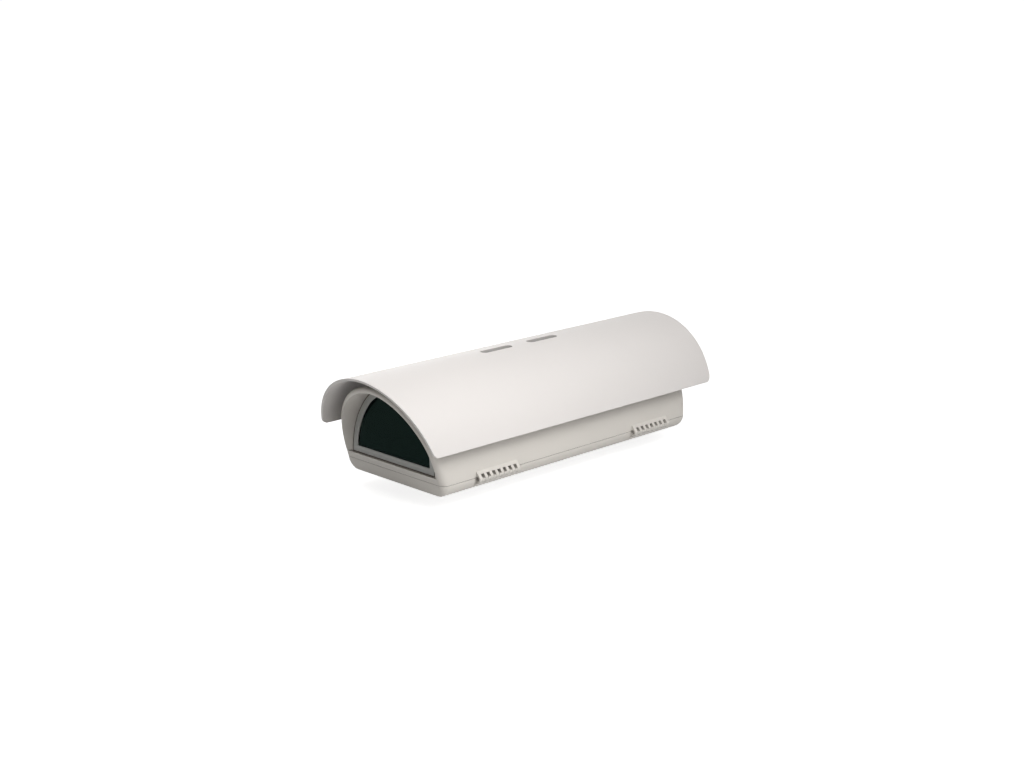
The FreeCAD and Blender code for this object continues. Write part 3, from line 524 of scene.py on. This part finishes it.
varistor_glaze = finish_from(
    "varistor_glaze", moulded,
    {"Colour": (0.05, 0.14, 0.30, 1), "Roughness": 0.25, "Grain": 2600.0, "Drift": 0.10},
    depth=0.00002, edge_radius=0.0004)
disc_radius, disc_thickness, disc_rounding, disc_stand = 0.0040, 0.0026, 0.0009, 0.0012
lead_radius, lead_length, lead_middle, lead_spread = 0.0004, 0.0036, 0.0017, 0.0022
disc_before_middle = 0.012
disc_y = board_middle.y - disc_before_middle
disc = start_piece(
    "board_varistor", "cylinder", (left_strip, disc_y, board_top + disc_radius + disc_stand),
    vertices=40, radius=disc_radius, depth=disc_thickness, rotation=lying)
bpy.ops.object.mode_set(mode="EDIT")
pick_faces(disc, lambda centre, normal: abs(normal.y) > squarely)
bpy.ops.mesh.bevel(offset=disc_rounding, segments=4, affect="EDGES")
bpy.ops.object.mode_set(mode="OBJECT")
for side in (-1, 1):
    lead = start_piece(
        "lead", "cylinder", (left_strip + side * lead_spread, disc_y, board_top + lead_middle),
        vertices=12, radius=lead_radius, depth=lead_length)
    select_only(disc, lead)
    bpy.ops.object.join()
set_in_places("board_varistor", disc, as_made, varistor_glaze, "base")

fuse_ceramic = finish_from(
    "fuse_ceramic", moulded,
    {"Colour": (0.62, 0.60, 0.55, 1), "Roughness": 0.30, "Grain": 3000.0, "Drift": 0.05},
    depth=0.00001, edge_radius=0.0002)
fuse_radius, fuse_half, cap_length, cap_rounding, fuse_stand = 0.0025, 0.0100, 0.0055, 0.0004, 0.0040
ceramic_half = fuse_half - cap_length
ceramic_share = 0.90
fuse_centre = (right_strip, board_middle.y, board_top + fuse_stand)
fuse = start_piece("board_fuse", "cylinder", fuse_centre, vertices=32, radius=fuse_radius,
                   depth=2 * fuse_half, rotation=lying)
bpy.ops.object.mode_set(mode="EDIT")
for side in (-1, 1):
    pick_faces(fuse, lambda centre, normal: normal.y * side > squarely)
    bpy.ops.mesh.bevel(offset=cap_rounding, segments=2, affect="EDGES")
for side in (-1, 1):
    bpy.ops.mesh.select_all(action="SELECT")
    bpy.ops.mesh.bisect(plane_co=(fuse_centre[0], fuse_centre[1] + side * ceramic_half, fuse_centre[2]),
                        plane_no=(0, 1, 0))
pick_faces(fuse, lambda centre, normal: abs(centre.y - board_middle.y) < ceramic_half)
bpy.ops.transform.resize(value=(ceramic_share, 1.0, ceramic_share), center_override=fuse_centre)
bpy.ops.object.mode_set(mode="OBJECT")
fuse_piece = set_in_places("board_fuse", fuse, as_made, steel_turned, "base")
fuse_piece.data.materials.append(fuse_ceramic)
for face in fuse_piece.data.polygons:
    if abs(face.center.y - board_middle.y) < ceramic_half:
        face.material_index = 1

clip_size, clip_stand, clip_sheet, clip_well = (0.0060, 0.0040, 0.0034), 0.0019, 0.0004, 0.0016
clip_mouth, clip_rounding = 0.0030, 0.00012
clip = start_piece("fuse_clip", "cube", (0, 0, clip_stand), size=1.0, scale=clip_size)
bpy.ops.object.mode_set(mode="EDIT")
pick_faces(clip, faces_up)
bpy.ops.mesh.inset(thickness=clip_sheet)
extrude_by((0, 0, -clip_well))
pick_faces(clip, lambda centre, normal: abs(normal.y) > squarely and centre.z > clip_mouth)
bpy.ops.mesh.delete(type="FACE")
bpy.ops.mesh.select_all(action="SELECT")
bpy.ops.mesh.bevel(offset=clip_rounding, segments=2, affect="EDGES")
bpy.ops.object.mode_set(mode="OBJECT")
clip_places = [(right_strip, board_middle.y + side * (fuse_half - cap_length / 2), board_top)
               for side in (-1, 1)]
set_in_places("fuse_clips", clip, clip_places, brass_turned, "base")


# Heater.
# A finned block of extruded aluminium, bead blasted, that keeps the window clear of mist. It is
# screwed to the tray's floor behind the window, with its heat switch, a drawn can, on top.

heater_blasted = finish_from(
    "heater_blasted", turned,
    {"Colour": (0.48, 0.49, 0.50, 1), "Roughness": 0.52, "Marks": 2400.0, "Tarnish": 0.12},
    depth=0.00004, Metallic=1.0)
dress(heater_blasted, "heater_block")
switch_can = finish_from(
    "switch_can", turned,
    {"Colour": (0.62, 0.62, 0.62, 1), "Roughness": 0.28, "Marks": 500.0, "Tarnish": 0.10},
    depth=0.00002, Metallic=1.0)
dress(switch_can, "heat_switch")


# Camera plate.
# The camera sits on a plate of brushed aluminium sheet that slides in the tray and is clamped by two
# screws. A quarter-inch screw through its long slot holds the camera on a black cork-rubber pad.

def brushed_sheet():
    """Rolled and brushed sheet: long fine scratches along the housing."""
    group, given, out, place = effect_group("brushed_sheet", Colour=(0.7, 0.7, 0.7, 1), Roughness=0.34)
    scratches_per_metre = (2600.0, 60.0, 2600.0)
    drawn = shader_node(group, "ShaderNodeMapping", {"Vector": place, "Scale": scratches_per_metre})
    scratches = noise_of(group, drawn.outputs["Vector"], 1.0, detail=3.0)
    matt = spread_of(group, scratches, -0.07, 0.07)
    link_outputs(
        group, out, Colour=tint_of(group, given["Colour"], spread_of(group, scratches, 0.88, 1.0)),
        Roughness=math_of(group, "ADD", given["Roughness"], matt), Height=scratches)
    return group


plate_brushed = finish_from(
    "plate_brushed", brushed_sheet(), {"Colour": (0.62, 0.63, 0.64, 1), "Roughness": 0.34},
    depth=0.00001, Metallic=1.0)
dress(plate_brushed, "camera_plate")
pad_cork_rubber = finish_from(
    "pad_cork_rubber", rubber, {"Colour": (0.035, 0.030, 0.026, 1), "Roughness": 0.85, "Bloom": 0.9},
    depth=0.00008)
dress(pad_cork_rubber, "camera_pad")


# Small screws of the base.
# Cross-headed screws of stainless steel hold the heater to its pads, and one of brass takes the
# earth wires. The camera plate's clamp screws and the camera's own screw are slit for a coin.

heater_low, heater_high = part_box("heater_screws")
heater_middle_y = (heater_low.y + heater_high.y) / 2
heater_seat = heater_high.z - small_head_height
heater_places = [(side * (heater_high.x - small_head), heater_middle_y, heater_seat) for side in (-1, 1)]
heater_fixings = set_in_places(
    "heater_fixings", small_screw(), heater_places, steel_turned, "base")
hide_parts("heater_screws")

earth_low, earth_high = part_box("earth_screw")
earth_middle = (earth_low + earth_high) / 2
earth_places = [(earth_middle.x, earth_middle.y, earth_high.z - small_head_height)]
earth_fixing = set_in_places("earth_fixing", small_screw(), earth_places, brass_turned, "base")
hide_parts("earth_screw")
dress(steel_turned, "plate_lock_screws", "camera_screw")


# Hinge pins and closing screws.
# The hinge pins are plated steel wire that snaps into the base's open knuckles and turns in the
# cover's. The closing screws are stainless, socket-headed, and kept in the tray by spring rings.

pin_plated = finish_from(
    "pin_plated", turned,
    {"Colour": (0.50, 0.48, 0.45, 1), "Roughness": 0.36, "Marks": 1800.0, "Tarnish": 0.25},
    depth=0.00001, edge_radius=0.0002, Metallic=1.0)
dress(pin_plated, "hinge_pin_front", "hinge_pin_rear")
dress(steel_turned, "closing_screw_1", "closing_screw_2", "closing_screw_3", "captive_rings")


# Body gasket.
# A cord of dark rubber lies in the tray's groove, and a thin lip of the same rubber runs out from it
# into the seam between tray and cover, where it stands in for the seam's shade as a dark line all round
# the housing: painted shade.

dress(seal_rubber, "body_gasket")
lip_inset, lip_rise, lip_thickness, groove_inset = 0.0003, 0.00003, 0.00034, 0.0046
rim_level, hinge_centres, hinge_size = 0.016, (-0.1388, 0.1412), (0.011, 0.070, 0.004)
weld, level_slack, nearly_up = 0.000002, 0.00002, 0.99
tray_low, tray_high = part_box("base_tray")
half_width, middle_y = -tray_low.x, (tray_low.y + tray_high.y) / 2
# The lip is a dark strip set into the seam: painted shade along the seam line.
lip = bpy.data.objects.new("seam_shade_lip", node["base_tray"].data.copy())
bpy.context.scene.collection.objects.link(lip)
select_only(lip)
bpy.ops.object.mode_set(mode="EDIT")
bpy.ops.mesh.select_all(action="SELECT")
bpy.ops.mesh.remove_doubles(threshold=weld)
pick_faces(lip, lambda centre, normal: abs(centre.z - rim_level) > level_slack or normal.z < nearly_up)
bpy.ops.mesh.delete(type="FACE")
pick_faces(lip, lambda centre, normal: centre.x < tray_low.x + groove_inset)
bpy.ops.mesh.select_linked()
bpy.ops.mesh.select_all(action="INVERT")
bpy.ops.mesh.delete(type="FACE")
bpy.ops.mesh.select_all(action="SELECT")
bpy.ops.mesh.bisect(plane_co=(half_width, 0, rim_level), plane_no=(1, 0, 0), clear_outer=True)
bpy.ops.mesh.select_all(action="SELECT")
narrower = 1 - lip_inset / half_width
shorter = 1 - 2 * lip_inset / (tray_high.y - tray_low.y)
bpy.ops.transform.resize(value=(narrower, shorter, 1.0), center_override=(0, middle_y, rim_level))
bpy.ops.transform.translate(value=(0, 0, lip_rise))
extrude_by((0, 0, lip_thickness))
bpy.ops.mesh.select_all(action="SELECT")
bpy.ops.mesh.normals_make_consistent(inside=False)
bpy.ops.object.mode_set(mode="OBJECT")
for centre in hinge_centres:
    cut_away(lip, (half_width, centre, rim_level), hinge_size, 1.0)
lip.data.materials.clear()
lip.data.materials.append(seal_rubber)
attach(lip, "base")


# Cover shell.
# The arched upper half, moulded in the same plastic as the tray. It turns on the two hinges, its
# raked hood runs back as one funnel to the window, and the sunshield slides on the rail on its crest.

# The cover takes the housing moulding, with its painted shade in gaps and recesses.
dress(housing_moulding, "cover_shell")


# Window.
# A flat pane of dark green glass with a coated face, held from inside by a light grey moulded frame
# on a dark rubber seal. Seven cross-headed screws hold the frame.

def clear_pane():
    """Float glass: almost even, with very faint waves."""
    group, given, out, place = effect_group("clear_pane", Colour=(0.2, 0.3, 0.26, 1), Roughness=0.02)
    waves_per_metre = 18.0
    waves = noise_of(group, place, waves_per_metre, detail=1.0)
    link_outputs(
        group, out, Colour=tint_of(group, given["Colour"], spread_of(group, waves, 0.94, 1.0)),
        Roughness=math_of(group, "ADD", given["Roughness"], spread_of(group, waves, 0.0, 0.02)),
        Height=waves)
    return group


window_glass = finish_from(
    "window_glass", clear_pane(), {"Colour": (0.012, 0.030, 0.022, 1), "Roughness": 0.02}, depth=0.00002,
    edge_wear=1.0, Transmission_Weight=1.0, IOR=1.13, Specular_Tint=(0.12, 1.0, 0.75, 1.0))
dress(window_glass, "window_glass")
window_rubber = finish_from(
    "window_rubber", rubber, {"Colour": (0.110, 0.088, 0.076, 1), "Roughness": 0.70, "Bloom": 0.30},
    depth=0.00003)
dress(window_rubber, "window_gasket")
frame_moulding = finish_from(
    "frame_moulding", moulded,
    {"Colour": (0.40, 0.40, 0.38, 1), "Roughness": 0.44, "Grain": 1800.0, "Drift": 0.03},
    depth=0.00002)
dress(frame_moulding, "window_frame")

window_head, window_head_height, window_shank, window_reach = 0.0024, 0.0018, 0.00125, 0.009
window_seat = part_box("window_screws")[1].y - window_head_height
window_crown = [(0.0, 0.11235)]
window_side = [(0.06575, 0.02815), (0.06123, 0.06194), (0.03965, 0.09713)]
window_ring = window_crown + [(-x, z) for x, z in window_side] + window_side
window_places = [(x, window_seat, z) for x, z in window_ring]
window_screw = headed_screw(
    "window_screw", window_head, window_head_height, window_shank, window_reach)
window_fixings = set_in_places(
    "window_fixings", window_screw, window_places, steel_turned, "cover", axis=(0, 1, 0))
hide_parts("window_screws")


# Sunshield.
# A long arched sheet over the cover, moulded in near-white plastic that keeps the sun's heat off.
# Two screws through its recessed slots hold it on the crest rail, so that it can be slid fore and aft.

# Painted shade: the sunshield's colour is darkened in its gaps, its slot recesses and the narrow space
# under its crown.
shield_moulding = finish_from(
    "shield_moulding", moulded,
    {"Colour": (0.785, 0.75, 0.725, 1), "Roughness": 0.54, "Grain": 1400.0, "Drift": 0.02},
    depth=0.00002, gap_shade_level=0.55)
dress(shield_moulding, "sunshield")
dress(steel_turned, "shield_washers")

shield_head, shield_head_height, shield_shank = 0.0044, 0.0034, 0.0025
rail_low, rail_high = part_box("shield_screws")
rail_seat = rail_high.z - shield_head_height
rail_places = [(0.0, y, rail_seat) for y in (rail_low.y + shield_head, rail_high.y - shield_head)]
shield_screw = headed_screw(
    "shield_screw", shield_head, shield_head_height, shield_shank, rail_seat - rail_low.z)
shield_fixings = set_in_places("shield_fixings", shield_screw, rail_places, steel_turned, "cover")
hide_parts("shield_screws")


# Studio.
# A white floor and surround, a soft box close above the hinge side, weaker ones beside, behind, in
# front and on the left, and the camera, placed as it stood for the photograph.

def white_surround(tree, lighting, shown):
    """A strength for lighting the object, and another for what the camera and reflections see."""
    path = shader_node(tree, "ShaderNodeLightPath").outputs
    looked_at = math_of(tree, "MAXIMUM", path["Is Camera Ray"], path["Is Glossy Ray"])
    looked_at = math_of(tree, "MAXIMUM", looked_at, path["Is Transmission Ray"])
    return shader_node(tree, "ShaderNodeMapRange", {
        "Value": looked_at, "To Min": lighting, "To Max": shown}).outputs["Result"]


floor_clearance, floor_size = 0.0005, 30.0
floor_height = solid_box[0].z - floor_clearance
bpy.ops.object.select_all(action="DESELECT")
bpy.ops.mesh.primitive_plane_add(size=floor_size, location=(0, 0, floor_height))
floor = bpy.context.object
floor.name = "studio_floor"
floor_paint = bpy.data.materials.new("floor_paint")
floor_paint.use_nodes = True
tree = floor_paint.node_tree
tree.nodes.clear()
floor_place = shader_node(tree, "ShaderNodeTexCoord").outputs["Object"]
away = shader_node(tree, "ShaderNodeVectorMath", {0: floor_place}, operation="LENGTH").outputs["Value"]
grey_glow, grey_until, white_from = 0.80, 0.4, 1.3
fade = shader_node(tree, "ShaderNodeMapRange", {
    "Value": away, "From Min": grey_until, "From Max": white_from,
    "To Min": grey_glow, "To Max": 1.0}).outputs["Result"]
glow = math_of(tree, "MULTIPLY", white_surround(tree, lighting=0.0, shown=1.0), fade)
paint = shader_node(tree, "ShaderNodeBsdfDiffuse", {"Color": (0.72, 0.72, 0.72, 1)})
light = shader_node(tree, "ShaderNodeEmission", {"Strength": glow})
both = shader_node(tree, "ShaderNodeAddShader", {0: paint.outputs["BSDF"], 1: light.outputs["Emission"]})
shader_node(tree, "ShaderNodeOutputMaterial", {"Surface": both.outputs["Shader"]})
floor.data.materials.append(floor_paint)

surround = bpy.data.worlds.new("studio_surround")
bpy.context.scene.world = surround
surround.use_nodes = True
tree = surround.node_tree
backdrop = tree.nodes["Background"]
backdrop.inputs["Color"].default_value = (1, 1, 1, 1)
tree.links.new(white_surround(tree, lighting=0.04, shown=1.0), backdrop.inputs["Strength"])


def soft_box(name, place, aim, size, watts):
    """A square soft box that points at a place on the object."""
    data = bpy.data.lights.new(name, "AREA")
    data.shape = "SQUARE"
    data.size = size
    data.energy = watts
    made = bpy.data.objects.new(name, data)
    bpy.context.scene.collection.objects.link(made)
    made.location = place
    made.rotation_mode = "QUATERNION"
    made.rotation_quaternion = (Vector(aim) - Vector(place)).to_track_quat("-Z", "Y")


window_corner, hinge_side, middle = (0.05, -0.12, 0.08), (0.05, -0.12, 0.05), (0.0, 0.0, 0.06)
soft_box("key_soft_box", (0.60, -0.29, 0.75), window_corner, size=0.5, watts=4.7)
soft_box("side_soft_box", (0.85, -0.20, 0.32), hinge_side, size=0.5, watts=1.7)
soft_box("rear_soft_box", (1.00, 0.58, 1.44), middle, size=1.0, watts=4.6)
soft_box("left_soft_box", (-0.78, -0.35, 1.62), middle, size=1.0, watts=10.5)
soft_box("back_soft_box", (-1.45, 0.75, 0.50), middle, size=1.0, watts=5.0)
soft_box("front_soft_box", (-1.30, -1.40, 0.80), middle, size=1.0, watts=2.5)

camera_azimuth, camera_elevation = math.radians(42.754), math.radians(15.097)
camera_roll = math.radians(1.597)
camera_target, camera_distance = Vector((-0.00447, -0.02248, 0.08310)), 2.1774
back = Vector((math.sin(camera_azimuth) * math.cos(camera_elevation),
               -math.cos(camera_azimuth) * math.cos(camera_elevation), math.sin(camera_elevation)))
lens = bpy.data.cameras.new("photo_camera")
lens.sensor_width = 36.0
lens.lens = 62.29
camera = bpy.data.objects.new("photo_camera", lens)
bpy.context.scene.collection.objects.link(camera)
camera.rotation_mode = "QUATERNION"
camera.location = camera_target + back * camera_distance
camera.rotation_quaternion = (-back).to_track_quat("-Z", "Y") @ Quaternion((0, 0, 1), camera_roll)
bpy.context.scene.camera = camera
bpy.context.scene.view_settings.view_transform = "Standard"
